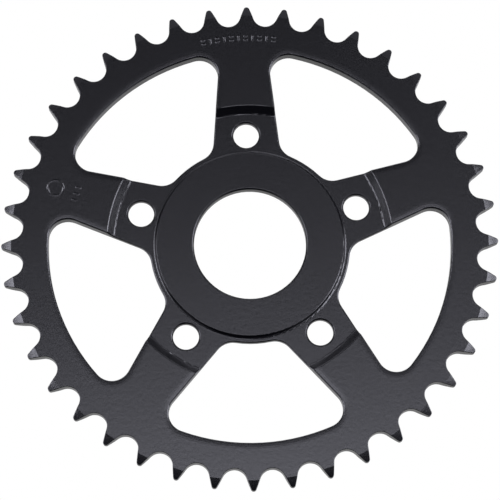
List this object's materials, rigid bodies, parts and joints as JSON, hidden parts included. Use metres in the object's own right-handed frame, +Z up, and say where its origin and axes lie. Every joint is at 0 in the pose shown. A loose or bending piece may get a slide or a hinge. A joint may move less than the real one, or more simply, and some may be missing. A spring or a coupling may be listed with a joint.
{
  "type": "chain sprocket",
  "caption": "Flat black steel chain sprocket for a motorcycle rear wheel, with spokes, a round hub bore and a ring of bolt holes in a turned recess.",
  "frame": {"origin": "on the wheel axis, half way through the thickness of the teeth", "axes": "+Y along the wheel axis from the outer face to the hub face, +Z up along the middle of one spoke, +X to the right seen from the outer face"},
  "size_m": [0.21, 0.0058, 0.21],
  "materials": {
    "black_coat": "satin black coat over steel"
  },
  "bodies": {
    "root": {"sprocket": "black_coat"}
  },
  "joints": []
}
